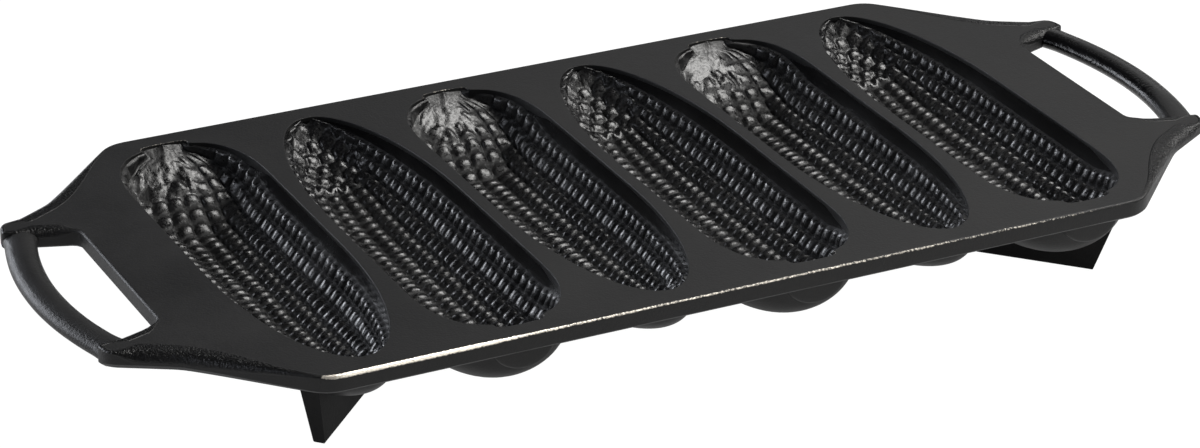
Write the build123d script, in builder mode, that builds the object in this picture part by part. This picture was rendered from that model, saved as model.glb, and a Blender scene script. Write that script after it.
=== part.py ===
from build123d import *

import os
from math import cos, degrees, hypot, pi, sin

# Cast iron corn stick pan: six cob-shaped cups in a plate, two loop handles and four blade feet.
# The real pan is one casting. It is divided here where its features meet, and every piece
# touches its neighbours face to face. Millimetres and degrees, +Z up, +X along the pan.
# The origin lies under the middle of the pan, on the level that the feet stand on.

os.makedirs("parts", exist_ok=True)

# Plate
pan_width = 164.8
plate_thickness = 5.5
top_edge_radius = 0.8
mouth_bevel = 0.4
corner_radius = 12.0
corner_overhang = 14.75

# Cups: their mouths in the plate, and their bodies below it
cup_count = 6
mouth_width = 42.5
land_width = 4.0
tip_margin = 7.4
stem_margin = 6.4
nose_length = 65.0
shoulder_length = 24.5
neck_width = 15.0
neck_length = 3.5
neck_corner_radius = 1.5
body_depth = 18.5
floor_wall = 3.3
nose_wall = 3.5
neck_wall = 2.0
stem_wall = 2.5

# Kernels on the floor of each cup, and the smooth band between them and the rim
kernel_rows = 9
kernels_in_row = 33
kernel_height = 1.4
kernel_bed = 0.7
smooth_wall_width = 9.2
smooth_wall_steps = 3

# Finger openings, and the ears beside them that carry the handles
apron_width = 21.9
opening_width = 62.4
opening_corner_radius = 3.0
ear_length = 21.0
ear_flare = 7.4
ear_end_width = 6.7
ear_root_width = 20.9
ear_root_offset = 1.9
ear_end_bevel = 0.4
ear_root_radius = 20.0
ear_outer_radius = 6.0
ear_end_radius = 1.2

# Handle bars, oval in section and bent to an arc
bar_gap = 17.2
bar_width = 9.4
bar_height = 6.0
bar_drop = 0.3
bar_bend_radius = 113.0

# Feet: blades that run inwards from the corners, at 45 degrees to the sides
foot_clearance = 5.5
foot_length = 36.0
foot_bottom_width = 3.4
foot_top_width = 6.0
foot_lean = 8.0
foot_edge_radius = 0.9
foot_side_inset = 16.8
foot_end_inset = 10.9

# Where the sections of a cup are drawn, as shares of the quarter turns of its rounded parts
neck_corner_shares = (0.0, 0.5, 1.0)
bare_shoulder_shares = (1.0, 0.87, 0.72, 0.56)
kernel_shoulder_shares = (0.38, 0.2, 0.0)
hollow_nose_shares = (0.0, 0.12, 0.24, 0.36, 0.47, 0.57, 0.66, 0.75, 0.83, 0.9, 0.95)
body_shoulder_shares = (1.0, 0.5, 0.0)
body_nose_shares = (0.0, 0.26, 0.48, 0.68, 0.84, 0.94)

# Levels and places worked out from the sizes above
cup_pitch = mouth_width + land_width
half_pitch = cup_pitch / 2
half_mouth = mouth_width / 2
half_neck = neck_width / 2
half_pan = pan_width / 2
half_opening = opening_width / 2
underside = foot_clearance + body_depth
top_face = underside + plate_thickness
hollow_depth = plate_thickness + body_depth - floor_wall
tip_y = tip_margin - half_pan
stem_y = half_pan - stem_margin
nose_y = tip_y + nose_length
shoulder_y = stem_y - neck_length - shoulder_length
end_cup_x = cup_pitch * (cup_count - 1) / 2
opening_x = end_cup_x + half_mouth + apron_width


def quarter_turns(shares):
    return [share * pi / 2 for share in shares]


def cup_sections(half_width, narrow, nose, shoulder, end, shoulder_shares, nose_shares):
    """Places along a cup from stem to tip, each with the share of the full section left there."""
    places = []
    for turn in quarter_turns(neck_corner_shares):
        width = narrow - neck_corner_radius * (1 - sin(turn))
        places.append((end - neck_corner_radius * (1 - cos(turn)), width / half_width))
    for turn in quarter_turns(shoulder_shares):
        width = narrow + (half_width - narrow) * cos(turn)
        places.append((shoulder_y + shoulder * sin(turn), width / half_width))
    for turn in quarter_turns(nose_shares):
        places.append((nose_y - nose * sin(turn), cos(turn)))
    return places


hollow_sections = cup_sections(half_mouth, half_neck, nose_length, shoulder_length, stem_y,
                               bare_shoulder_shares + kernel_shoulder_shares, hollow_nose_shares)
body_sections = cup_sections(half_pitch, half_neck + neck_wall, nose_length + nose_wall,
                             shoulder_length + neck_wall, stem_y + stem_wall,
                             body_shoulder_shares, body_nose_shares)

# The hollow's full section: a half ellipse that hangs from the top face, from rim to rim
with BuildLine(Plane.XZ):
    section_curve = EllipticalCenterArc((0, top_face), half_mouth, hollow_depth, start_angle=180, arc_size=180)
axis_point = Vector(0, 0, top_face)
row_width = (section_curve.length - 2 * smooth_wall_width) / kernel_rows
wall_step = smooth_wall_width / smooth_wall_steps


def place_on_section(along):
    """Point of the full section, at a length along it from the first rim."""
    return section_curve.position_at(along, position_mode=PositionMode.LENGTH)


def place_on_row(rows):
    """Point of the full section, a number of kernel rows along from the first."""
    return place_on_section(smooth_wall_width + rows * row_width)


row_edges = [place_on_row(row) for row in range(kernel_rows + 1)]
row_middles = [place_on_row(row + 0.5) for row in range(kernel_rows)]

# Points of the wall from a place above the top face, over the mouth's bevel, down to the kernels
wall_lengths = [mouth_bevel] + [step * wall_step for step in range(1, smooth_wall_steps)]
above_bevel = (half_mouth + 2 * mouth_bevel, 0, top_face + mouth_bevel)
last_wall = [Vector(*above_bevel)] + [place_on_section(section_curve.length - along) for along in wall_lengths]
first_wall = [Vector(-point.X, 0, point.Z) for point in last_wall]
section_points = first_wall + row_edges + last_wall[::-1]


def section_share(y):
    """Share of the full hollow that is left at a place along the cup."""
    for (high, high_share), (low, low_share) in zip(hollow_sections, hollow_sections[1:]):
        if low <= y <= high:
            return low_share + (high_share - low_share) * (y - low) / (high - low)
    return hollow_sections[-1][1]


def wall_point(full, y, rise=0):
    """A point of the full section moved to its place along the cup, and raised off the wall."""
    share = section_share(y) * (1 - rise / half_mouth)
    return axis_point + (full - axis_point) * share + Vector(0, y, 0)


# Body of a cup as a solid, before it is hollowed
with BuildPart() as cup_body:
    for y, share in body_sections:
        with BuildSketch(Plane.XZ.offset(-y)):
            with BuildLine():
                EllipticalCenterArc((0, underside), half_pitch * share, body_depth * share,
                                    start_angle=180, arc_size=180)
                Line((half_pitch * share, underside), (-half_pitch * share, underside))
            make_face()
    loft(ruled=True)

# Hollow of a cup, flat between the points of its section
with BuildPart() as hollow:
    for y, share in hollow_sections:
        with BuildSketch(Plane.XZ.offset(-y)):
            with BuildLine():
                wall = [axis_point + (point - axis_point) * share for point in section_points]
                Polyline(*[(point.X, point.Z) for point in wall], close=True)
            make_face()
    loft(ruled=True)

with BuildPart() as cup:
    add(cup_body.part)
    add(hollow.part, mode=Mode.SUBTRACT)

# Neighbouring cups lie head to tail
cup_places = [Location((cup_pitch * number - end_cup_x, 0, 0), (0, 0, 180 * (number % 2)))
              for number in range(cup_count)]

# Plate: one quarter of its outline, from the long side round the ear to the finger opening
ear_x = opening_x + ear_length
ear_y = half_opening + ear_flare
root_x = opening_x + ear_root_offset
root_y = half_opening + ear_root_width
quarter = [(end_cup_x + corner_overhang, half_pan),
           (root_x, root_y),
           (ear_x - ear_end_bevel, ear_y + ear_end_width),
           (ear_x, ear_y),
           (opening_x, half_opening)]
quarter_radii = [corner_radius, ear_root_radius, ear_outer_radius, ear_end_radius, opening_corner_radius]
right_end = quarter + [(x, -y) for x, y in reversed(quarter)]
left_end = [(-x, -y) for x, y in right_end]
end_radii = quarter_radii + quarter_radii[::-1]

with BuildPart() as top_plate:
    with BuildSketch(Plane.XY.offset(underside)):
        with BuildLine():
            FilletPolyline(*right_end, *left_end, radius=end_radii + end_radii, close=True)
        make_face()
    extrude(amount=plate_thickness)
    fillet(top_plate.faces().sort_by(Axis.Z)[-1].edges(), top_edge_radius)
    for place in cup_places:
        with Locations(place):
            add(hollow.part, mode=Mode.SUBTRACT)
top_plate.part.label = "top_plate"
export_step(top_plate.part, "parts/top_plate.step")

# Kernels: each one is a low pyramid that stands between its four corners on a thin bed.
# They start where the shoulders begin to narrow to the neck.
kernel_sections = hollow_sections[-len(kernel_shoulder_shares + hollow_nose_shares):]
first_kernel_y = kernel_sections[0][0]
last_kernel_y = kernel_sections[-1][0]
kernel_length = (first_kernel_y - last_kernel_y) / kernels_in_row
ring_places = [first_kernel_y - kernel_length * ring for ring in range(kernels_in_row)] + [last_kernel_y]
section_places = [y for y, share in kernel_sections]


def facet(*points):
    return Face(Wire.make_polygon(points, close=True))


def pyramid(corners, peak):
    return [facet(one, other, peak) for one, other in zip(corners, corners[1:] + corners[:1])]


facets = []
for near_y, far_y in zip(ring_places, ring_places[1:]):
    for start, middle, end in zip(row_edges, row_middles, row_edges[1:]):
        corners = [wall_point(start, near_y, kernel_bed), wall_point(end, near_y, kernel_bed),
                   wall_point(end, far_y, kernel_bed), wall_point(start, far_y, kernel_bed)]
        peak = wall_point(middle, (near_y + far_y) / 2, kernel_bed + kernel_height)
        facets += pyramid(corners, peak)
for near_y, far_y in zip(section_places, section_places[1:]):
    for start, end in zip(row_edges, row_edges[1:]):
        facets.append(facet(wall_point(start, near_y), wall_point(end, near_y),
                            wall_point(end, far_y), wall_point(start, far_y)))
for edge in (row_edges[0], row_edges[-1]):
    facets.append(facet(*[wall_point(edge, y, kernel_bed) for y in ring_places],
                        *[wall_point(edge, y) for y in reversed(section_places)]))
for y in (first_kernel_y, last_kernel_y):
    facets.append(facet(*[wall_point(edge, y, kernel_bed) for edge in row_edges],
                        *[wall_point(edge, y) for edge in reversed(row_edges)]))
with BuildPart() as kernels:
    add(Solid(Shell(facets)))

# Cups and kernel linings in their places, and the whole bodies that the feet are cut to
whole_bodies = []
for number, place in enumerate(cup_places, start=1):
    with BuildPart() as corn_cup:
        with Locations(place):
            add(cup.part)
    corn_cup.part.label = f"corn_cup_{number}"
    export_step(corn_cup.part, f"parts/corn_cup_{number}.step")
    with BuildPart() as kernel_lining:
        with Locations(place):
            add(kernels.part)
    kernel_lining.part.label = f"kernel_lining_{number}"
    export_step(kernel_lining.part, f"parts/kernel_lining_{number}.step")
    with BuildPart() as whole_body:
        with Locations(place):
            add(cup_body.part)
    whole_bodies.append(whole_body.part)

# Handles: an oval bar along an arc, cut off where it meets the ends of the ears
bar_x = opening_x + bar_gap + bar_width / 2
bar_z = top_face - bar_drop - bar_height / 2
bar_half_turn = degrees((ear_y + ear_end_width) / bar_bend_radius)
ear_faces = [Plane(origin=(opening_x, side * half_opening, top_face), x_dir=(ear_length, side * ear_flare, 0),
                   z_dir=(-side * ear_flare, ear_length, 0)) for side in (1, -1)]
with BuildPart() as right_handle:
    with BuildLine(Plane.XY.offset(bar_z)) as bend:
        CenterArc((bar_x - bar_bend_radius, 0), bar_bend_radius, -bar_half_turn, 2 * bar_half_turn)
    with BuildSketch(Plane(origin=bend.line @ 0, x_dir=(0, 0, 1), z_dir=bend.line % 0)):
        Ellipse(bar_height / 2, bar_width / 2)
    sweep()
    split(bisect_by=ear_faces[0], keep=Keep.BOTTOM)
    split(bisect_by=ear_faces[1], keep=Keep.TOP)
right_handle.part.label = "right_handle"
export_step(right_handle.part, "parts/right_handle.step")

with BuildPart() as left_handle:
    add(mirror(right_handle.part, about=Plane.YZ, mode=Mode.PRIVATE))
left_handle.part.label = "left_handle"
export_step(left_handle.part, "parts/left_handle.step")

# Feet: blades that narrow to a level bottom edge, with the cup above cut out of them
foot_x = end_cup_x + half_mouth - foot_end_inset
foot_y = half_pan - foot_side_inset
diagonal = hypot(1, 1)
for name, side_x, side_y in (("front_left", -1, -1), ("front_right", 1, -1),
                             ("rear_left", -1, 1), ("rear_right", 1, 1)):
    outwards = (side_x, side_y, 0)
    with BuildPart() as foot:
        with BuildSketch(Plane(origin=(side_x * foot_x, side_y * foot_y, 0), x_dir=outwards)):
            Rectangle(foot_length, foot_bottom_width, align=(Align.MAX, Align.CENTER))
        with BuildSketch(Plane(origin=(side_x * (foot_x + foot_lean / diagonal),
                                       side_y * (foot_y + foot_lean / diagonal), underside),
                               x_dir=outwards)):
            Rectangle(foot_length + foot_lean, foot_top_width, align=(Align.MAX, Align.CENTER))
        loft(ruled=True)
        fillet(foot.edges().group_by(Axis.Z)[0], foot_edge_radius)
        add(whole_bodies[0 if side_x < 0 else -1], mode=Mode.SUBTRACT)
    foot.part.label = f"foot_{name}"
    export_step(foot.part, f"parts/foot_{name}.step")

print("pan length", round(2 * (bar_x + bar_width / 2), 2), "width", pan_width, "height", round(top_face, 2))
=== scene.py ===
import math

import bmesh
import bpy
from mathutils import Matrix, Vector, noise


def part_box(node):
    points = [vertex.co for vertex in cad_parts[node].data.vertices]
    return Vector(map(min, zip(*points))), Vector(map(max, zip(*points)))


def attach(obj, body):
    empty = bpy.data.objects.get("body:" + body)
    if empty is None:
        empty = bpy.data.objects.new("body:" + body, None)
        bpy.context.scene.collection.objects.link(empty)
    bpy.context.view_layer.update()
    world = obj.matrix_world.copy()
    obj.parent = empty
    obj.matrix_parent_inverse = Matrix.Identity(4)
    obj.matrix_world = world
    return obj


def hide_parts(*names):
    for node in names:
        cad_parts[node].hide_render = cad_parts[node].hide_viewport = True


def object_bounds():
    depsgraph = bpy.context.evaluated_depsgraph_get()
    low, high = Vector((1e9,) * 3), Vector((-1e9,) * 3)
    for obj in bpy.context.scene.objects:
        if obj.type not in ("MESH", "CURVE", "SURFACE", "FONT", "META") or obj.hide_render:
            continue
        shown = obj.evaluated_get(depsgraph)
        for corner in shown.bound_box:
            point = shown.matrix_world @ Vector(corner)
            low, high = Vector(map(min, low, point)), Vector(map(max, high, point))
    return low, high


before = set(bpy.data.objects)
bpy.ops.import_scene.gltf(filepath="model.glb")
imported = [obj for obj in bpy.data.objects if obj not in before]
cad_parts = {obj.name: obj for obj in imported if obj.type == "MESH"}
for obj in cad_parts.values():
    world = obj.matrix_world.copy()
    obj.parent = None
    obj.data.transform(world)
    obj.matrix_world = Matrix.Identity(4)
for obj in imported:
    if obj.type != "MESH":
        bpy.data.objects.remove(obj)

# a cast iron corn stick pan: one casting, with a fine mesh for each node of the frame but the feet
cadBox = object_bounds()
mm = 0.001  # the frame is in metres
quarterTurn = math.pi / 2
print("stage: frame loaded")


# camera, recovered from the corners of the pan in the photograph
camera = {
    "aim": (-13.51 * mm, -12.88 * mm, 20.49 * mm),
    "azimuth": math.radians(-27.4225),
    "elevation": math.radians(25.975),
    "roll": math.radians(1.00835),
    "distance": 1200 * mm,
    "lens": 122.17,
    "sensor": 36.0,
    "clip": (0.05, 20.0),
}


def makeCamera(c):
    data = bpy.data.cameras.new("photoCamera")
    data.lens = c["lens"]
    data.sensor_width = c["sensor"]
    data.clip_start, data.clip_end = c["clip"]
    seer = bpy.data.objects.new("photoCamera", data)
    bpy.context.scene.collection.objects.link(seer)
    level = math.cos(c["elevation"])
    back = Vector((math.sin(c["azimuth"]) * level, -math.cos(c["azimuth"]) * level, math.sin(c["elevation"])))
    turn = (-back).to_track_quat("-Z", "Y").to_matrix() @ Matrix.Rotation(c["roll"], 3, "Z")
    seer.matrix_world = Matrix.Translation(Vector(c["aim"]) + back * c["distance"]) @ turn.to_4x4()
    bpy.context.scene.camera = seer


makeCamera(camera)
print("stage: camera placed")


# shader helper: a wire is an output socket, and arithmetic on it adds Math nodes
class wire:
    def __init__(self, tree, socket=None):
        self.tree = tree
        self.socket = socket

    # any other node: its settings first, then the values or links of its sockets
    def node(self, kind, settings=None, inputs=None, output=0):
        made = self.tree.nodes.new(kind)
        for key, value in (settings or {}).items():
            setattr(made, key, value)
        for key, value in (inputs or {}).items():
            if isinstance(value, wire):
                value.into(made.inputs[key])
            else:
                made.inputs[key].default_value = value
        return wire(self.tree, made.outputs[output])

    def into(self, socket):
        self.tree.links.new(self.socket, socket)

    def maths(self, operation, one, other):
        return self.node("ShaderNodeMath", {"operation": operation}, {0: one, 1: other})

    def __add__(self, other):
        return self.maths("ADD", self, other)

    def __radd__(self, other):
        return self.maths("ADD", other, self)

    def __sub__(self, other):
        return self.maths("SUBTRACT", self, other)

    def __rsub__(self, other):
        return self.maths("SUBTRACT", other, self)

    def __mul__(self, other):
        return self.maths("MULTIPLY", self, other)

    def __rmul__(self, other):
        return self.maths("MULTIPLY", other, self)

    def between(self, low, high, lowest=0.0, highest=1.0):
        return self.node("ShaderNodeMapRange", None, {0: self, 1: low, 2: high, 3: lowest, 4: highest})

    # this wire is the factor that blends one colour into the other
    def blend(self, one, other):
        return self.node("ShaderNodeMix", {"data_type": "RGBA"}, {0: self, 6: one, 7: other}, 2)


# seasoned cast iron: a dark oil-baked coat, sand-cast grain, and bare metal where edges rub, with a painted
# highlight there; marks at each vertex paint shade with a darker shade colour
ironFinish = {
    "coat": (0.0056, 0.0056, 0.0060, 1),
    "patch": (0.0108, 0.0106, 0.0106, 1),
    # painted shade: the colour that dark valleys, walls and cast patches blend into
    "hollow": (0.0015, 0.0015, 0.0018, 1),
    # bare metal, as bright as the line of light along the rubbed edges: worn metal and a painted highlight
    "bareShine": (0.88, 0.82, 0.72, 1),
    "roughness": (0.44, 0.58),
    "hollowRoughness": 0.50,
    "bareRoughness": -0.12,
    "castRoughness": -0.20,
    "glossyShadeRoughness": -0.32,
    "grainRoughness": 0.15,
    "specular": 0.34,
    "bareMetal": 0.8,
    # how far cast patches blend into the painted shade colour
    "castShade": 0.8,
    "patchScale": 28.0,
    "patchDetail": 4.0,
    "patchEdge": (0.3, 0.7),  # the part of the noise over which the coat turns into the patch colour
    "patchGrain": 0.5,
    "grainScale": 1500.0,
    "grainDetail": 1.5,
    "grainHeight": 0.060 * mm,
    "pitScale": 420.0,
    "pitDetail": 2.0,
    "pitHeight": 0.045 * mm,
    "castGain": 4.5,
    "noiseRoughness": 0.6,
    "wearShineEdge": (0.42, 0.78),  # how much of the rubbed edge, broken up by the noise, shows bare metal with its painted highlight
    "wearShineStart": (0.05, 0.3),
    "wearShineGrain": 0.9,
    "wearShinePatches": 0.5,
}
kernelFinish = dict(ironFinish, **{
    "coat": (0.0060, 0.0060, 0.0070, 1),
    "patch": (0.012, 0.0117, 0.0120, 1),
    "roughness": (0.24, 0.36),
    "castRoughness": -0.05,
    "grainRoughness": 0.7,
    "specular": 0.60,
    "grainScale": 1300.0,
    "grainHeight": 0.055 * mm,
    "pitScale": 520.0,
    "pitHeight": 0.06 * mm,
    "castGain": 0.3,
})
footFinish = dict(ironFinish, specular=0.17, roughness=(0.66, 0.80))


def ironMaterial(name, f):
    material = bpy.data.materials.new(name)
    material.use_nodes = True
    shader = material.node_tree.nodes["Principled BSDF"]
    start = wire(material.node_tree)
    place = start.node("ShaderNodeTexCoord", output="Object")

    def speckle(scale, detail):
        return start.node("ShaderNodeTexNoise", None, {"Vector": place, "Scale": scale, "Detail": detail,
                                                       "Roughness": f["noiseRoughness"]})

    def attribute(named):
        return start.node("ShaderNodeAttribute", {"attribute_name": named}, output="Fac")

    patches = speckle(f["patchScale"], f["patchDetail"])
    grain = speckle(f["grainScale"], f["grainDetail"])
    pits = speckle(f["pitScale"], f["pitDetail"])
    # the noises lie round 0.5, so these two swing to both sides of 0
    grainSwing, patchSwing = grain - 0.5, patches - 0.5
    wearShine, roughShade, cast, glossyShade = attribute("wearShine"), attribute("roughShade"), attribute("cast"), attribute("glossyShade")

    # bare metal where edges rub, which also paints their highlight
    bareShine = (wearShine + grainSwing * f["wearShineGrain"] + patchSwing * f["wearShinePatches"]).between(*f["wearShineEdge"])
    bareShine = bareShine * wearShine.between(*f["wearShineStart"])
    colour = (patches + grainSwing * f["patchGrain"]).between(*f["patchEdge"]).blend(f["coat"], f["patch"])
    # painted shade: both shade marks and the cast patches blend the colour into the shade colour
    colour = (roughShade + glossyShade + cast * f["castShade"]).blend(colour, f["hollow"])
    bareShine.blend(colour, f["bareShine"]).into(shader.inputs["Base Color"])
    (bareShine * f["bareMetal"]).into(shader.inputs["Metallic"])

    rough = patches.between(*f["patchEdge"], *f["roughness"]) + grainSwing * f["grainRoughness"]
    rough = rough + roughShade * f["hollowRoughness"] + bareShine * f["bareRoughness"]
    rough = rough + cast * f["castRoughness"] + glossyShade * f["glossyShadeRoughness"]
    rough.into(shader.inputs["Roughness"])

    # heights in mm, because the Bump node's distance is one
    height = (grain * f["grainHeight"] + pits * f["pitHeight"]) * (cast * f["castGain"] + 1) * (1 / mm)
    bump = start.node("ShaderNodeBump", None, {"Height": height, "Distance": mm}, "Normal")
    bump.into(shader.inputs["Normal"])
    shader.inputs["Specular IOR Level"].default_value = f["specular"]
    return material


panIron = ironMaterial("seasonedIron", ironFinish)
kernelIron = ironMaterial("kernelIron", kernelFinish)
footIron = ironMaterial("footIron", footFinish)
print("stage: materials made")


# mesh helpers
meshing = {
    "mergeWithin": 0.004 * mm,
    "sharpAngle": 42,
}


# a new mesh with the four marks that the iron finish reads at each vertex: rubbed edge with painted
# highlight, rough painted shade, cast grain, and glossy painted shade
def newSurface():
    bm = bmesh.new()
    return bm, {name: bm.verts.layers.float.new(name) for name in ("wearShine", "roughShade", "cast", "glossyShade")}


def finishPiece(bm, name, material, node, sharpAngle=meshing["sharpAngle"]):
    bmesh.ops.remove_doubles(bm, verts=bm.verts, dist=meshing["mergeWithin"])
    bmesh.ops.recalc_face_normals(bm, faces=bm.faces)
    mesh = bpy.data.meshes.new(name)
    bm.to_mesh(mesh)
    bm.free()
    mesh.polygons.foreach_set("use_smooth", [True] * len(mesh.polygons))
    mesh.set_sharp_from_angle(angle=math.radians(sharpAngle))
    mesh.materials.append(material)
    piece = bpy.data.objects.new(name, mesh)
    bpy.context.scene.collection.objects.link(piece)
    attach(piece, "root")
    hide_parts(node)


# 0 up to low, 1 from high on, and an S-curve in between
def smooth(value, low, high):
    share = min(1, max(0, (value - low) / (high - low)))
    return share * share * (3 - 2 * share)


# levels and places from the frame
plateLow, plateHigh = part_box("top_plate")
cupBoxes = [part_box(f"corn_cup_{number}") for number in range(1, 7)]
cupCentres = [(low.x + high.x) / 2 for low, high in cupBoxes]
topZ, underZ = plateHigh.z, plateLow.z

# one cup in its own place: stem towards +Y, tip towards -Y, the hollow hung from the top face
cob = {
    "mouthHalf": 21.25 * mm,
    "bodyHalf": 23.25 * mm,
    "hollowDepth": 20.7 * mm,
    "bodyDepth": 18.5 * mm,
    "noseY": -10 * mm,
    "nose": 65 * mm,
    "noseWall": 3.5 * mm,
    "shoulderY": 48 * mm,
    "shoulder": 24.5 * mm,
    "neckHalf": 7.5 * mm,
    "neckWall": 2.0 * mm,
    "neckEnd": 76 * mm,
    "neckCorner": 1.6 * mm,
    "stemWall": 2.5 * mm,
    "rim": 0.6 * mm,
    "neckRim": (71 * mm, 74 * mm),  # where the rim loses its painted glossy shade, and its rubbed edge with painted highlight grows, towards the end of the neck
    "glossyShadeDepth": (0.3 * mm, 1.0 * mm),
    "sideShares": (0.05, 0.10, 0.15, 0.33, 0.53),  # where stem end, corner, neck, shoulder and body end
    "rowsAlong": 96,
    "outerColumns": 40,
    "innerColumns": 44,
    "sectionSteps": 600,
    "sharpAngle": 80,
}


# place and width share along one side of a cup, from the middle of the stem end to the tip
def lengthwise(along, c, outer=False):
    wall = 1 if outer else 0
    half = c["bodyHalf"] if outer else c["mouthHalf"]
    neck = c["neckHalf"] + c["neckWall"] * wall
    shoulder = c["shoulder"] + c["neckWall"] * wall
    nose = c["nose"] + c["noseWall"] * wall
    end = c["neckEnd"] + c["stemWall"] * wall
    corner = c["neckCorner"]
    endTo, cornerTo, neckTo, shoulderTo, bodyTo = c["sideShares"]
    if along < endTo:
        return end, (neck - corner) / half * along / endTo
    if along < cornerTo:
        turn = (along - endTo) / (cornerTo - endTo) * quarterTurn
        return end - corner * (1 - math.cos(turn)), (neck - corner * (1 - math.sin(turn))) / half
    if along < neckTo:
        top = end - corner
        run = (along - cornerTo) / (neckTo - cornerTo)
        return top + (c["shoulderY"] + shoulder - top) * run, neck / half
    if along < shoulderTo:
        turn = (shoulderTo - along) / (shoulderTo - neckTo) * quarterTurn
        return c["shoulderY"] + shoulder * math.sin(turn), (neck + (half - neck) * math.cos(turn)) / half
    if along < bodyTo:
        run = (along - shoulderTo) / (bodyTo - shoulderTo)
        return c["shoulderY"] + (c["noseY"] - c["shoulderY"]) * run, 1.0
    turn = (along - bodyTo) / (1 - bodyTo) * quarterTurn
    return c["noseY"] - nose * math.sin(turn), max(0.0, math.cos(turn))


# the hollow's width at a place along it, as a share of its full width
def widthShare(y, c):
    if y < c["noseY"]:
        return math.sqrt(max(0, 1 - ((c["noseY"] - y) / c["nose"]) ** 2))
    if y <= c["shoulderY"]:
        return 1.0
    run = min(1, (y - c["shoulderY"]) / c["shoulder"])
    return (c["neckHalf"] + (c["mouthHalf"] - c["neckHalf"]) * math.sqrt(1 - run * run)) / c["mouthHalf"]


# the cups lie head to tail
def cupTurn(number):
    turn = Matrix.Rotation(math.pi * (number % 2), 4, "Z")
    return Matrix.Translation((cupCentres[number], 0, 0)) @ turn


# cup shell: the round body below the plate and the bare hollow inside it, closed along the rim
def makeCupShell(number, c):
    bm, layers = newSurface()
    columns = c["outerColumns"] + c["innerColumns"] + 2
    bmesh.ops.create_grid(bm, x_segments=columns, y_segments=c["rowsAlong"], size=0.5)
    for vert in bm.verts:
        column = round((vert.co.x + 0.5) * columns) % columns
        outer = column <= c["outerColumns"]
        y, share = lengthwise(vert.co.y + 0.5, c, outer)
        if outer:
            turn = math.pi * column / c["outerColumns"]
            x = -c["bodyHalf"] * share * math.cos(turn)
            z = underZ - c["bodyDepth"] * share * math.sin(turn)
        else:
            turn = math.pi * (column - c["outerColumns"] - 1) / c["innerColumns"]
            x = c["mouthHalf"] * share * math.cos(turn)
            z = min(topZ - c["hollowDepth"] * share * math.sin(turn), topZ - c["rim"])
            # painted shade: the smooth band below the rim is darker and glossier, except towards the end of
            # the neck
            vert[layers["glossyShade"]] = smooth(topZ - z, *c["glossyShadeDepth"]) * (1 - smooth(y, *c["neckRim"]))
        vert.co = (x, y, z)
    bm.transform(cupTurn(number))
    node = f"corn_cup_{number + 1}"
    finishPiece(bm, f"cupShell{number + 1}", panIron, node, c["sharpAngle"])


# kernel lining: rows of kernels on floor and walls, husk and lumps at the stem, round beads at the tip
kernels = {
    "rows": 10,
    "quadsAcross": 9,
    "rings": 34,
    "quadsAlong": 7,
    "stemQuads": 26,
    "tipQuads": 12,
    "backQuads": 10,
    "stemY": 75.6 * mm,
    "firstY": 60.5 * mm,
    "lastY": -73.0 * mm,
    "tipY": -74.6 * mm,
    "crowding": 0.03,
    "bed": 0.35 * mm,
    "height": 1.5 * mm,
    "narrowRise": 0.6,
    "narrowest": 0.25,  # width share under which the relief sinks away
    "backRise": -0.8 * mm,
    # bare wall between the rim and the outer rows, which climb beside the stem
    "smoothWall": 5.9 * mm,
    "fadeQuads": 1.5,
    "stemClimb": 3.9 * mm,
    "stemClimbY": (44 * mm, 66 * mm),
    # the floor rises towards the stem
    "rampY": (48.5 * mm, 75 * mm),
    "rampDepth": (20.6 * mm, 1.6 * mm),
    "rampBlend": 2.5 * mm,
    "rampEase": (-8 * mm, 4 * mm),
    "leastBlend": 0.01 * mm,
    # where kernels turn from beads into broad teeth: up the walls and near the stem
    "broadTeeth": (9 * mm, 17 * mm),
    "squareY": (38 * mm, 52 * mm),
    "squareShare": 0.6,
    # small errors of place and size, by noise
    "seed": 3.7,
    "jitter": 0.42 * mm,
    "jitterPower": 3,
    "wobbleScale": (1.7, 0.9),
    "driftScale": (5.3, 0.045 / mm),
    "driftSeed": 7.1,
    "drift": 2.2,
    "slideScale": (0.31, 0.11 / mm),
    "slide": 0.5,
    "sizeScale": (3.1, 2.3),
    "sizeSeed": 20,
    "sizeChange": 0.28,
    # lumps and husk at the stem
    "stemReach": 11.5 * mm,
    "stemShift": 4 * mm,
    "stemFade": 3 * mm,
    "stemEdge": 1.5 * mm,
    "lump": 2.1 * mm,
    "lumpSize": 5.5 * mm,
    "stemRipple": 0.30 * mm,
    "rippleScale": 0.4 / mm,
    "seedShift": (3 * mm, 5 * mm),
    "huskX": -3.5 * mm,
    "huskHalf": 10 * mm,
    "huskFade": 4 * mm,
    "huskY": (62.5 * mm, 66 * mm),
    "huskFray": 4 * mm,
    "frayScale": 0.3 / mm,
    "huskRise": 0.8 * mm,
    "huskLumps": 0.1,
    # beads at the tip, in staggered lines
    "tipLumps": (50 * mm, 53 * mm),
    "tipReach": 12 * mm,
    "tipFade": 2 * mm,
    "tipBead": 1.7 * mm,
    "beadPitch": (4.6 * mm, 4.2 * mm),
    "beadWander": 0.15,
    # marks for the finish: painted shade, dark in the valleys and black on one side of the stem and in the
    # neck
    "valley": (0.05, 0.5),
    "tipValley": 0.5,
    "tipCast": 0.3,
    "blackY": (60 * mm, 64 * mm),
    "blackSide": (-14 * mm, -11.5 * mm),
    "neckY": (69 * mm, 72.5 * mm),
    "neckBlack": 0.8,
    "blackRoughShade": 0.6,
    "blackGlossyShade": 0.4,
    "sharpAngle": 75,
}

# forms of one kernel: a and b run from -1 to 1 across and along its cell
kernelForm = {
    "domeStretch": (0.94, 0.97),
    "domePower": 0.55,
    "toothPowers": (3.2, 2.2),
    "toothPower": 0.62,
    "lumpReach": 0.70,
    "lumpPowers": (2.2, 0.6),
}


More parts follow.
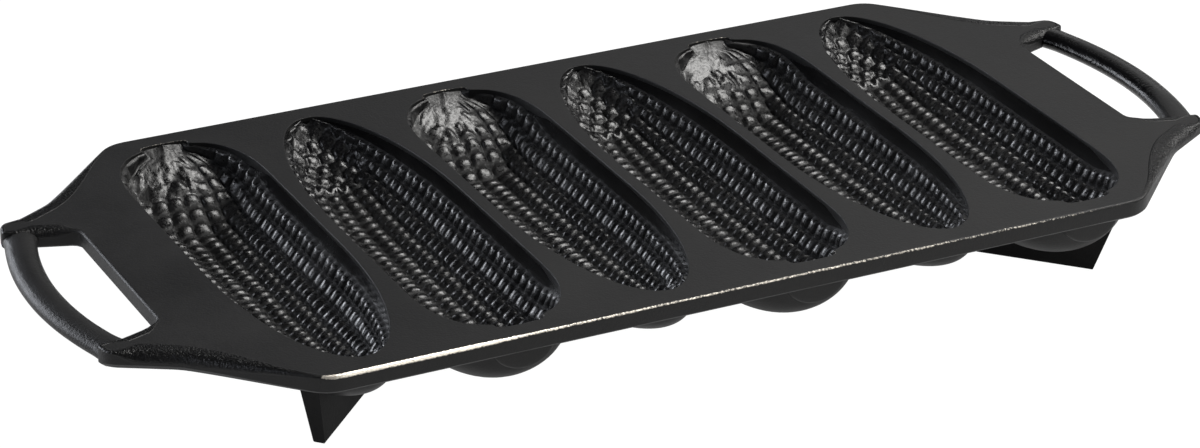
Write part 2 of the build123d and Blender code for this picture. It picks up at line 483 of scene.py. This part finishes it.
# the hollow's full section as points, with the run of its curve up to each
def sectionCurve(c):
    points = []
    for step in range(c["sectionSteps"] + 1):
        turn = math.pi * step / c["sectionSteps"]
        points.append(Vector((-c["mouthHalf"] * math.cos(turn), 0, -c["hollowDepth"] * math.sin(turn))))
    run = [0.0]
    for one, other in zip(points, points[1:]):
        run.append(run[-1] + (other - one).length)
    return points, run


curvePoints, curveRun = sectionCurve(cob)
wholeRun = curveRun[-1]


# the point of that curve at a run from its first end
def onSection(distance):
    low, high = 0, len(curveRun) - 1
    while high - low > 1:
        middle = (low + high) // 2
        if curveRun[middle] <= distance:
            low = middle
        else:
            high = middle
    share = (distance - curveRun[low]) / (curveRun[high] - curveRun[low])
    return curvePoints[low].lerp(curvePoints[high], share)


# a round bead that fills its cell
def dome(a, b, f):
    return max(0.0, 1 - a * a - b * b) ** f["domePower"]


# a kernel is such a bead on the floor and a broad flat tooth up the walls
def pillow(a, b, broad, f):
    across, along = f["domeStretch"]
    acrossPower, alongPower = f["toothPowers"]
    tooth = max(0.0, 1 - abs(a) ** acrossPower) * max(0.0, 1 - abs(b) ** alongPower)
    return dome(a * across, b * along, f) * (1 - broad) + tooth ** f["toothPower"] * broad


# round lumps of about one cell each
def lumps(spot, size, f):
    nearest = noise.voronoi(spot / size)[0][0]
    edgePower, power = f["lumpPowers"]
    return max(0.0, 1 - (nearest / f["lumpReach"]) ** edgePower) ** power


# the lesser of two values, with a soft change from one to the other
def softLeast(one, other, blend):
    share = min(1, max(0, 0.5 + (other - one) / blend / 2))
    return other + (one - other) * share - blend * share * (1 - share) / 2


# place along the cup of a line of the grid, from the stem to the tip
def ringPlace(line, rings, k):
    if line <= k["stemQuads"]:
        return k["stemY"] + (k["firstY"] - k["stemY"]) * line / k["stemQuads"]
    if line <= k["stemQuads"] + rings:
        run = (line - k["stemQuads"]) / rings
        crowded = run * (1 + k["crowding"]) - k["crowding"] * run * run
        return k["firstY"] + (k["lastY"] - k["firstY"]) * crowded
    return k["lastY"] + (k["tipY"] - k["lastY"]) * (line - k["stemQuads"] - rings) / k["tipQuads"]


# how much the lumps of the stem and the beads of the tip take over from the kernels
def endZones(aside, y, k):
    inStem = smooth(k["stemReach"] - abs(aside + k["stemShift"]), 0, k["stemFade"])
    inStem *= smooth(y, k["firstY"] - k["stemEdge"], k["firstY"] + k["stemEdge"])
    inTip = smooth(-y, *k["tipLumps"]) * smooth(k["tipReach"] - abs(aside), 0, k["tipFade"])
    return inStem, inTip


# height at the stem, and how much of it is the smooth husk
def stemRise(spot, seed, k):
    shifted = spot + Vector((seed * k["seedShift"][0], seed * k["seedShift"][1], 0))
    fray = k["huskFray"] * noise.noise(shifted * k["frayScale"])
    husk = smooth(k["huskHalf"] - abs(spot.x - k["huskX"]) + fray, 0, k["huskFade"])
    husk *= smooth(spot.y + fray, *k["huskY"])
    lump = k["lump"] * lumps(shifted, k["lumpSize"], kernelForm)
    rise = lump * (1 - (1 - k["huskLumps"]) * husk) + k["huskRise"] * husk
    return rise + k["stemRipple"] * noise.noise(spot * k["rippleScale"]), husk


def tipRise(spot, wobble, k):
    pitchAcross, pitchAlong = k["beadPitch"]
    line = spot.y / pitchAlong
    place = spot.x / pitchAcross + 0.5 * (math.floor(line) % 2) + k["beadWander"] * wobble
    return k["tipBead"] * pillow(place % 1 * 2 - 1, line % 1 * 2 - 1, k["squareShare"], kernelForm)


# painted black shade on one side of the stem and in the neck
def blackShade(aside, y, k):
    besideStem = smooth(y, *k["blackY"]) * (1 - smooth(aside, *k["blackSide"]))
    return max(besideStem, k["neckBlack"] * smooth(y, *k["neckY"]))


# a point of the lining, with the floor as a gentle ramp where it climbs towards the stem
def liningPoint(distance, y, share, rise, k):
    base = onSection(distance) * share
    (startY, endY), (startDepth, endDepth) = k["rampY"], k["rampDepth"]
    ramp = startDepth + (endDepth - startDepth) * max(0, (y - startY) / (endY - startY))
    easeFrom, easeTo = k["rampEase"]
    blend = k["rampBlend"] * smooth(y, startY + easeFrom, startY + easeTo) + k["leastBlend"]
    base.z = -softLeast(-base.z, ramp, blend)
    base -= base.normalized() * rise * min(1, share / k["narrowest"])
    return Vector((base.x, y, topZ + base.z))


def makeKernels(number, c, k):
    bm, layers = newSurface()
    columns = k["rows"] * k["quadsAcross"]
    rings = k["rings"] * k["quadsAlong"]
    lines = k["stemQuads"] + rings + k["tipQuads"]
    allColumns = columns + k["backQuads"]
    seed = k["seed"] * (number + 1)
    bmesh.ops.create_grid(bm, x_segments=allColumns, y_segments=lines, size=0.5)
    for vert in bm.verts:
        column = round((vert.co.x + 0.5) * allColumns)
        line = round((vert.co.y + 0.5) * lines)
        y = ringPlace(line, rings, k)
        share = widthShare(y, c)
        fieldStart = k["smoothWall"] - k["stemClimb"] * smooth(y, *k["stemClimbY"])
        fieldEnd = wholeRun - fieldStart
        # the last columns go back behind the relief and close it
        if column > columns:
            returning = 1 - (column - columns) / k["backQuads"]
            distance = fieldStart + (fieldEnd - fieldStart) * returning
            vert.co = liningPoint(distance, y, share, k["backRise"], k)
            continue

        distance = fieldStart + (fieldEnd - fieldStart) * column / columns
        row = min(k["rows"] - 1, column // k["quadsAcross"])
        cell = (line - k["stemQuads"]) // k["quadsAlong"]
        a = (column / k["quadsAcross"] - row) * 2 - 1
        b = ((line - k["stemQuads"]) / k["quadsAlong"] - cell) * 2 - 1
        field = smooth(column, 0, k["fadeQuads"]) * smooth(columns - column, 0, k["fadeQuads"])
        aside = onSection(distance).x * share
        inStem, inTip = endZones(aside, y, k)
        plain = (1 - inStem) * (1 - inTip)

        # rings wander a little, and each kernel sits slightly off its place
        perRow, perCell = k["wobbleScale"]
        wobble = noise.noise(Vector((row * perRow + seed, cell * perCell, seed)))
        perRow, perLength = k["driftScale"]
        drift = noise.noise(Vector((row * perRow + seed, y * perLength, k["driftSeed"])))
        y += (1 - abs(a) ** k["jitterPower"]) * k["jitter"] * (wobble + k["drift"] * drift) * plain
        perColumn, perLength = k["slideScale"]
        slide = noise.noise(Vector((column * perColumn, y * perLength, seed)))
        distance += k["slide"] * k["jitter"] * slide * field
        distance = min(fieldEnd, max(fieldStart, distance))
        perRow, perCell = k["sizeScale"]
        big = 1 + k["sizeChange"] * noise.noise(Vector((row * perRow, cell * perCell, seed + k["sizeSeed"])))

        broad = max(smooth(abs(distance - wholeRun / 2), *k["broadTeeth"]),
                    k["squareShare"] * smooth(y, *k["squareY"]))
        full = onSection(distance)
        spot = Vector((full.x * share, y, full.z * share))
        stem, husk = stemRise(spot, seed, k)
        rise = k["height"] * big * pillow(a, b, broad, kernelForm) * plain
        rise += stem * inStem + tipRise(spot, wobble, k) * inTip
        # painted shade: the lower the relief, the darker and rougher the valley
        low = 1 - smooth(rise / k["height"], *k["valley"])
        rise = (rise + k["bed"]) * field * (k["narrowRise"] + (1 - k["narrowRise"]) * share)

        black = blackShade(aside, y, k)
        # painted shade: dark valleys, except on the husk and less at the tip, and black beside the stem and
        # in the neck
        vert[layers["roughShade"]] = max(low * (1 - husk) * (1 - k["tipValley"] * inTip), k["blackRoughShade"] * black)
        vert[layers["glossyShade"]] = k["blackGlossyShade"] * black
        vert[layers["cast"]] = husk + k["tipCast"] * inTip
        vert.co = liningPoint(distance, y, share, rise, k)
    bm.transform(cupTurn(number))
    node = f"kernel_lining_{number + 1}"
    finishPiece(bm, f"kernels{number + 1}", kernelIron, node, k["sharpAngle"])


for number in range(len(cupCentres)):
    makeCupShell(number, cob)
    makeKernels(number, cob, kernels)
print("stage: cups and kernels made")


# plate with its ears: rings of points round the outline and the mouths, bridged and filled
plate = {
    # one quarter of the outline: corners and radii in mm, from the long side to the finger opening
    "outline": [((131.0, 82.4), 12), ((162.0, 53.2), 20), ((179.4, 43.4), 5.0), ((180.2, 38.2), 1.2),
                ((159.4, 31.2), 3)],
    "step": 2.2 * mm,
    "outlineSteps": 8,
    "mouthPoints": 120,
    "mouthSteps": 4,
    "mouthEasing": 12,
    # radii of the upper edges and sizes of the lower bevels
    "edge": 0.85 * mm,
    "earEdge": 3.4 * mm,
    "earInnerEdge": 2.6 * mm,
    "wornEdge": 0.5 * mm,
    "mouthEdge": 0.18 * mm,
    "underEdge": 0.7 * mm,
    "earUnderEdge": 1.9 * mm,
    "support": 0.2 * mm,
    "wide": 1.6 * mm,
    "spread": 1.2,
    "fade": 0.35 * mm,
    # where the ears' outer sides, inner sides and ends, the long sides and the rough ears begin and are full
    "earX": (130 * mm, 160 * mm),
    "earY": (39.5 * mm, 43.5 * mm),
    "innerX": (160 * mm, 165 * mm),
    "innerY": (30 * mm, 33 * mm),
    "earEndX": (172 * mm, 178 * mm),
    "longSideY": (80 * mm, 82 * mm),
    "roughX": (131 * mm, 142 * mm),
    "roughY": (30 * mm, 34 * mm),
    "roughPower": 0.5,
    # rubbed edges with their painted highlight: the near side by its place in mm, following the bright line
    # along it, the rest as one value
    "nearWearShine": [(-128, 1.2), (-88, 1.1), (-70, 0.75), (0, 0.58), (70, 0.52), (128, 0.40)],
    "farWearShine": 0.35,
    "wornWearShine": (0.6, 1.2),
    "mouthWearShine": 0.15,
    "neckWearShine": 0.34,
    "glossyShadeDepth": 0.5 * mm,
}


# a closed loop with rounded corners, in even steps
def roundedLoop(corners, step):
    arcs = []
    for place, (corner, radius) in enumerate(corners):
        before, after = corners[place - 1][0], corners[(place + 1) % len(corners)][0]
        to, on = (before - corner).normalized(), (after - corner).normalized()
        bend = to.angle(on)
        reach = radius / math.tan(bend / 2)
        centre = corner + (to + on).normalized() * (radius / math.sin(bend / 2))
        start, end = corner + to * reach - centre, corner + on * reach - centre
        steps = max(3, int((math.pi - bend) * radius / step) + 1)
        arcs.append([centre + start.slerp(end, s / steps).normalized() * radius for s in range(steps + 1)])
    points = []
    for arc, following in zip(arcs, arcs[1:] + arcs[:1]):
        gap = following[0] - arc[-1]
        straight = int(gap.length / step)
        points += arc + [arc[-1] + gap * s / straight for s in range(1, straight)]
    return points


# unit vectors to the right of a loop's run, which is into the plate from its outline and its mouths
def loopNormals(points):
    normals = []
    for before, after in zip(points[-1:] + points[:-1], points[1:] + points[:1]):
        run = after - before
        normals.append(Vector((run.y, -run.x, 0)).normalized())
    return normals


def addRing(bm, points):
    verts = [bm.verts.new(point) for point in points]
    return [bm.edges.new((verts[i - 1], verts[i])) for i in range(len(verts))]


# the rings of a wall from below: insets by its radius and its bevel, level, and shares of rubbed edge with
# painted highlight, strongest halfway round, and of grain
def edgeStations(steps, p):
    stations = [(0, 1, 0, 0, 0), (0, 0, 1, 0, 0)]
    for s in range(steps + 1):
        turn = quarterTurn * s / steps
        shine = max(0, math.sin(2 * turn))
        rough = math.sin(turn) ** p["roughPower"]
        stations.append((1 - math.cos(turn), 0, 1 - math.sin(turn), shine, rough))
    return stations


# the rounded wall of a loop, from its lower ring to a support ring on the flat top
def edgeRings(bm, layers, points, radii, underEdges, marks, steps, p):
    normals = loopNormals(points)
    rings = []
    for place, (inset, plain, level, shine, rough) in enumerate(edgeStations(steps, p)):
        ring = []
        for point, normal, radius, under in zip(points, normals, radii, underEdges):
            z = underZ + under * level if place < 2 else topZ - radius * level
            at = point + normal * (inset * radius + under * plain)
            ring.append(Vector((at.x, at.y, z)))
        rings.append(addRing(bm, ring))
        # rubbed edge with painted highlight, strongest halfway round; cast grain; painted glossy shade
        # deepening down the wall
        for edge, (wearShine, cast, glossyShade) in zip(rings[-1], marks):
            edge.verts[1][layers["wearShine"]] = wearShine * shine
            edge.verts[1][layers["cast"]] = cast * rough
            edge.verts[1][layers["glossyShade"]] = glossyShade * smooth(topZ - ring[0].z, 0.0, p["glossyShadeDepth"])
    # the rings on the flat are bridged from above, because loops in one plane can bridge twisted
    rests = [radius + p["support"] + max(0, radius - p["wide"]) * p["spread"] for radius in radii]
    for step in (1, 2):
        lift = Vector((0, 0, topZ + p["support"] * step))
        fade = p["fade"] * (step - 1)
        ring = [at + normal * (rest + fade) + lift for at, normal, rest in zip(points, normals, rests)]
        rings.append(addRing(bm, ring))
    # the support ring on the top takes the full cast mark, darkest there: a painted dark strip of shade along
    # the rough ears' upper edges
    for edge, (wearShine, cast, glossyShade) in zip(rings[-2], marks):
        edge.verts[1][layers["cast"]] = cast
    for one, other in zip(rings, rings[1:]):
        bmesh.ops.bridge_loops(bm, edges=one + other)
    for edge in rings[-2] + rings[-1]:
        edge.verts[0].co.z = topZ
    return rings[0], rings[-1]


# a mouth's outline in its place, anticlockwise, and how far into the neck each point is
def mouthLoop(number, c, p):
    start = c["sideShares"][0]
    count = p["mouthPoints"]
    side = [lengthwise(start + (1 - start) * s / count, c) for s in range(count + 1)]
    points = [Vector((-c["mouthHalf"] * share, y, 0)) for y, share in side]
    points += [Vector((-point.x, point.y, 0)) for point in reversed(points[:-1])]
    # the corners between neck and shoulders are eased, so that the rim can be rounded
    for again in range(p["mouthEasing"]):
        points = [(before + at * 2 + after) / 4
                  for before, at, after in zip(points[-1:] + points[:-1], points, points[1:] + points[:1])]
    necks = [smooth(point.y, *c["neckRim"]) for point in points]
    return [cupTurn(number) @ point for point in points], necks


# a value between the steps of a table of places and values
def steppedValue(table, at):
    for (low, one), (high, other) in zip(table, table[1:]):
        if at <= high:
            return one + (other - one) * min(1, max(0, (at - low) / (high - low)))
    return table[-1][1]


def plateOutline(p):
    quarter = [(Vector((x, y, 0)) * mm, radius * mm) for (x, y), radius in p["outline"]]
    right = quarter + [(Vector((at.x, -at.y, 0)), radius) for at, radius in reversed(quarter)]
    left = [(Vector((-at.x, -at.y, 0)), radius) for at, radius in right]
    return roundedLoop(right + left, p["step"])


def makePlate(p, c):
    points = plateOutline(p)
    radii, marks, unders = [], [], []
    for point in points:
        x, y = abs(point.x), abs(point.y)
        outer = smooth(x, *p["earX"]) * smooth(y, *p["earY"])
        inner = smooth(x, *p["innerX"]) * smooth(y, *p["innerY"])
        extra = max((p["earEdge"] - p["edge"]) * outer, (p["earInnerEdge"] - p["edge"]) * inner)
        longSide = smooth(y, *p["longSideY"])
        # on the near long side the strength follows the bright line along it, a painted highlight
        wearShine = steppedValue(p["nearWearShine"], point.x / mm) if point.y < 0 else p["farWearShine"]
        worn = p["wornEdge"] * longSide * smooth(wearShine, *p["wornWearShine"])
        radii.append(p["edge"] + extra * (1 - smooth(x, *p["earEndX"])) + worn)
        unders.append(p["underEdge"] + (p["earUnderEdge"] - p["underEdge"]) * outer)
        marks.append((wearShine * longSide, smooth(x, *p["roughX"]) * smooth(y, *p["roughY"]), 0))
    bm, layers = newSurface()
    under, top = edgeRings(bm, layers, points, radii, unders, marks, p["outlineSteps"], p)
    for number in range(len(cupCentres)):
        loop, necks = mouthLoop(number, c, p)
        radii = [p["mouthEdge"]] * len(loop)
        # mouth rims: rubbed edge with painted highlight, stronger at the neck; painted glossy shade down the
        # mouth walls, except at the neck
        marks = [(p["mouthWearShine"] + p["neckWearShine"] * neck, 0, 1 - neck) for neck in necks]
        ends = edgeRings(bm, layers, loop, radii, [0] * len(loop), marks, p["mouthSteps"], p)
        under += ends[0]
        top += ends[1]
    for edges in (top, under):
        bmesh.ops.triangle_fill(bm, use_beauty=True, use_dissolve=False, edges=edges, normal=(0, 0, 1))
    finishPiece(bm, "plateTop", panIron, "top_plate")


makePlate(plate, cob)
print("stage: plate made")


# handle bars: an oval swept along an arc, swelling into a knuckle where it meets each ear
handle = {
    "middleX": 181.28 * mm,
    "bend": 113 * mm,
    "halfTurn": math.radians(20.6),
    "width": 9.4 * mm,
    "height": 6.0 * mm,
    "drop": 0.3 * mm,
    "knuckle": 0.16,
    "knuckleEnds": (0.40, 0.5),
    "barGlossyShade": 0.7,
    "glossyShadeStart": (-0.40, -0.15),  # as shares of the bar's length from its middle
    "rough": 0.35,
    "roughSides": (-0.6, -0.1),  # this and plainTop are shares of half the bar's height
    "plainTop": (0.75, 0.98),
    "around": 28,
    "along": 64,
}


def makeHandle(name, node, side, h):
    bm, layers = newSurface()
    bmesh.ops.create_grid(bm, x_segments=h["around"], y_segments=h["along"], size=0.5)
    centreX = h["middleX"] - h["bend"]
    centreZ = topZ - h["drop"] - h["height"] / 2
    for vert in bm.verts:
        place = vert.co.y
        turn = 2 * h["halfTurn"] * place
        around = 2 * math.pi * vert.co.x
        fat = 1 + h["knuckle"] * smooth(abs(place), *h["knuckleEnds"])
        reach = h["bend"] + h["width"] / 2 * fat * math.cos(around)
        rising = math.sin(around)
        sides = smooth(rising, *h["roughSides"]) * (1 - smooth(rising, *h["plainTop"]))
        vert[layers["cast"]] = h["rough"] * sides
        # painted shade: only the right bar is darker and glossier, over all but its near end
        vert[layers["glossyShade"]] = h["barGlossyShade"] * smooth(place, *h["glossyShadeStart"]) if side > 0 else 0
        vert.co = (side * (centreX + reach * math.cos(turn)), reach * math.sin(turn),
                   centreZ + h["height"] / 2 * rising)
    finishPiece(bm, name, panIron, node)


makeHandle("leftBar", "left_handle", -1, handle)
makeHandle("rightBar", "right_handle", 1, handle)
print("stage: handles made")

# feet keep their CAD blades with the iron finish
for name in ("foot_front_left", "foot_front_right", "foot_rear_left", "foot_rear_right"):
    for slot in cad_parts[name].material_slots:
        slot.material = footIron
print("stage: feet finished")


# floor, world and lamps
studio = {
    "floorSize": 6.0,
    "floorDrop": 0.2 * mm,
    "floorColour": (0.66, 0.66, 0.66, 1),
    "floorRoughness": 0.9,
    "floorSpecular": 0.1,
    "floorSight": 0.90,
    "floorGlossy": 0.45,
    "floorWhite": 1.12,
    "world": 0.02,
    # name, place, aim, size, power and colour
    "lamps": [
        ("overhead", (0.42, -0.04, 0.88), (0.0, 0.0, 0.0), (0.56, 0.46), 8.0, (1.0, 0.99, 0.97)),
        ("backdrop", (1.25, 1.5, 0.72), (0.05, 0.0, 0.0), (1.5, 0.6), 2.2, (1.0, 1.0, 1.0)),
        ("front", (0.40, -0.72, 0.52), (-0.03, 0.02, 0.0), (0.60, 0.40), 2.2, (1.0, 0.99, 0.97)),
        ("right", (0.88, -0.06, 0.52), (-0.03, 0.02, 0.0), (0.30, 0.40), 3.2, (1.0, 0.99, 0.97)),
        ("left", (-0.95, -0.08, 0.50), (0.0, 0.0, 0.0), (0.50, 0.36), 1.5, (0.86, 0.90, 1.0)),
        ("backLeft", (-0.85, 1.1, 0.36), (0.0, 0.0, 0.0), (1.3, 0.55), 16.0, (0.90, 0.93, 1.0)),
    ],
}


def floorMaterial(s):
    material = bpy.data.materials.new("paleFloor")
    material.use_nodes = True
    nodes = material.node_tree.nodes
    paint = nodes["Principled BSDF"]
    paint.inputs["Base Color"].default_value = s["floorColour"]
    paint.inputs["Roughness"].default_value = s["floorRoughness"]
    paint.inputs["Specular IOR Level"].default_value = s["floorSpecular"]
    # the camera and glossy rays see part of the floor as plain white
    start = wire(material.node_tree)
    white = start.node("ShaderNodeEmission", None, {"Strength": s["floorWhite"]})
    sight = start.node("ShaderNodeLightPath", output="Is Camera Ray")
    mirrored = start.node("ShaderNodeLightPath", output="Is Glossy Ray")
    share = sight * s["floorSight"] + mirrored * s["floorGlossy"]
    painted = wire(start.tree, paint.outputs[0])
    seen = start.node("ShaderNodeMixShader", None, {0: share, 1: painted, 2: white})
    seen.into(nodes["Material Output"].inputs["Surface"])
    return material


def makeFloor(s):
    bm = bmesh.new()
    bmesh.ops.create_grid(bm, x_segments=1, y_segments=1, size=s["floorSize"] / 2)
    mesh = bpy.data.meshes.new("paleFloor")
    bm.to_mesh(mesh)
    bm.free()
    mesh.materials.append(floorMaterial(s))
    floor = bpy.data.objects.new("paleFloor", mesh)
    floor.location.z = cadBox[0].z - s["floorDrop"]
    bpy.context.scene.collection.objects.link(floor)


def makeWorld(s):
    world = bpy.data.worlds.new("studio")
    bpy.context.scene.world = world
    world.use_nodes = True
    background = world.node_tree.nodes["Background"]
    background.inputs["Color"].default_value = (1, 1, 1, 1)
    sight = wire(world.node_tree).node("ShaderNodeLightPath", output="Is Camera Ray")
    (sight * (1 - s["world"]) + s["world"]).into(background.inputs["Strength"])


def makeLamps(s):
    for name, at, to, size, power, colour in s["lamps"]:
        data = bpy.data.lights.new(name, "AREA")
        data.shape = "RECTANGLE"
        data.size, data.size_y = size
        data.energy = power
        data.color = colour
        lamp = bpy.data.objects.new(name, data)
        lamp.location = at
        lamp.rotation_euler = (Vector(to) - Vector(at)).to_track_quat("-Z", "Y").to_euler()
        bpy.context.scene.collection.objects.link(lamp)
        lamp.visible_camera = False


makeFloor(studio)
makeWorld(studio)
makeLamps(studio)
bpy.context.scene.view_settings.view_transform = "Standard"
print("stage: studio lit")
